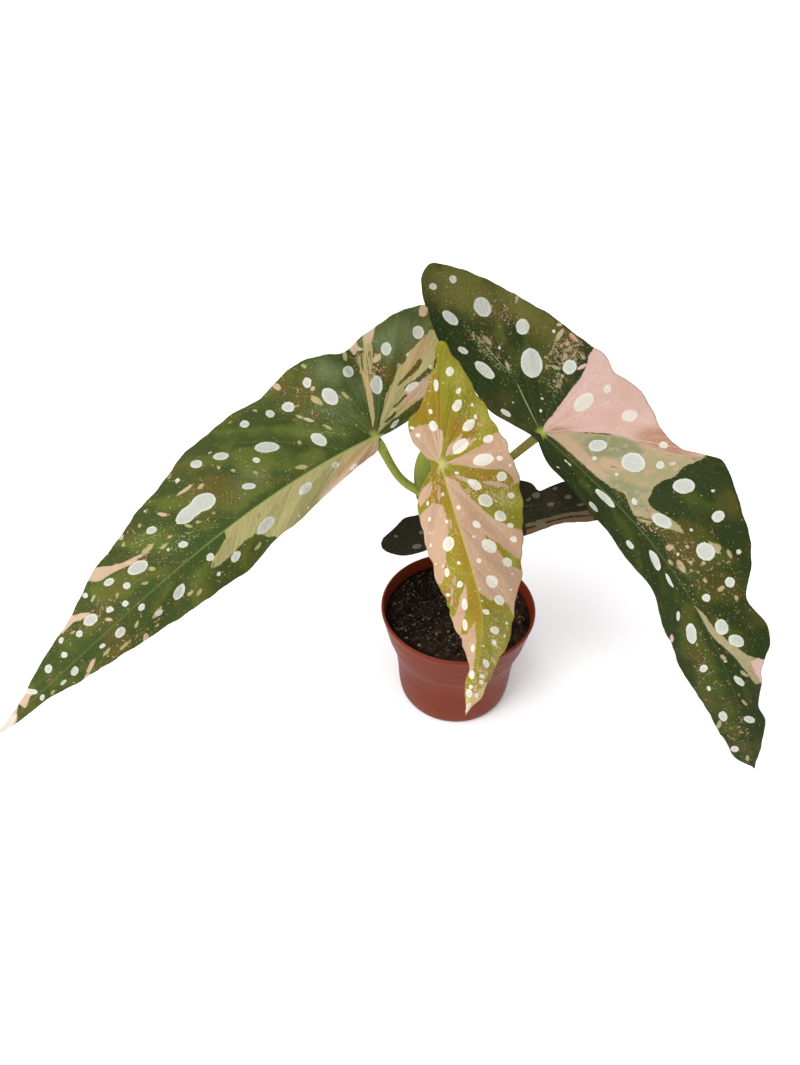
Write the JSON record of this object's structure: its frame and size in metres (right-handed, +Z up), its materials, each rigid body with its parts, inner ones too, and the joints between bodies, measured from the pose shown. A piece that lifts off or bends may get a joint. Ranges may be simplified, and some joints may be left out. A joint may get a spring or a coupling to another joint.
{
  "type": "potted polka dot begonia",
  "caption": "Potted angel-wing begonia with variegated, white-spotted leaves on slender stalks, in a thin round nursery pot filled with soil.",
  "frame": {"origin": "centre of the pot's flat underside, on the surface it stands on", "axes": "+Z up along the pot's axis, -Y towards the front of the plant, +X to the right of someone who faces it"},
  "size_m": [0.3604, 0.1885, 0.2564],
  "materials": {
    "pot": "thin moulded terracotta-coloured plastic, faintly glossy",
    "soil": "dark crumbly potting mix with fibres and pale grains",
    "stalk": "smooth, slightly glossy yellow-green stalk",
    "sheath": "thin pale green sheath",
    "leaf": "satin green blade with cream, pink and khaki areas and white spots, wine red below",
    "leaf_young": "satin olive and pink blade with white spots, wine red below",
    "leaf_old": "dark olive blade with faint spots, wine red below"
  },
  "bodies": {
    "root": {"pot": "pot", "soil": "soil", "stem": "stalk", "leaf_left": "leaf", "leaf_right": "leaf", "leaf_centre": "leaf_young", "leaf_back": "leaf_old", "petiole_left": "stalk", "petiole_right": "stalk", "petiole_centre": "stalk", "petiole_back": "stalk", "stipule": "sheath"}
  },
  "joints": []
}
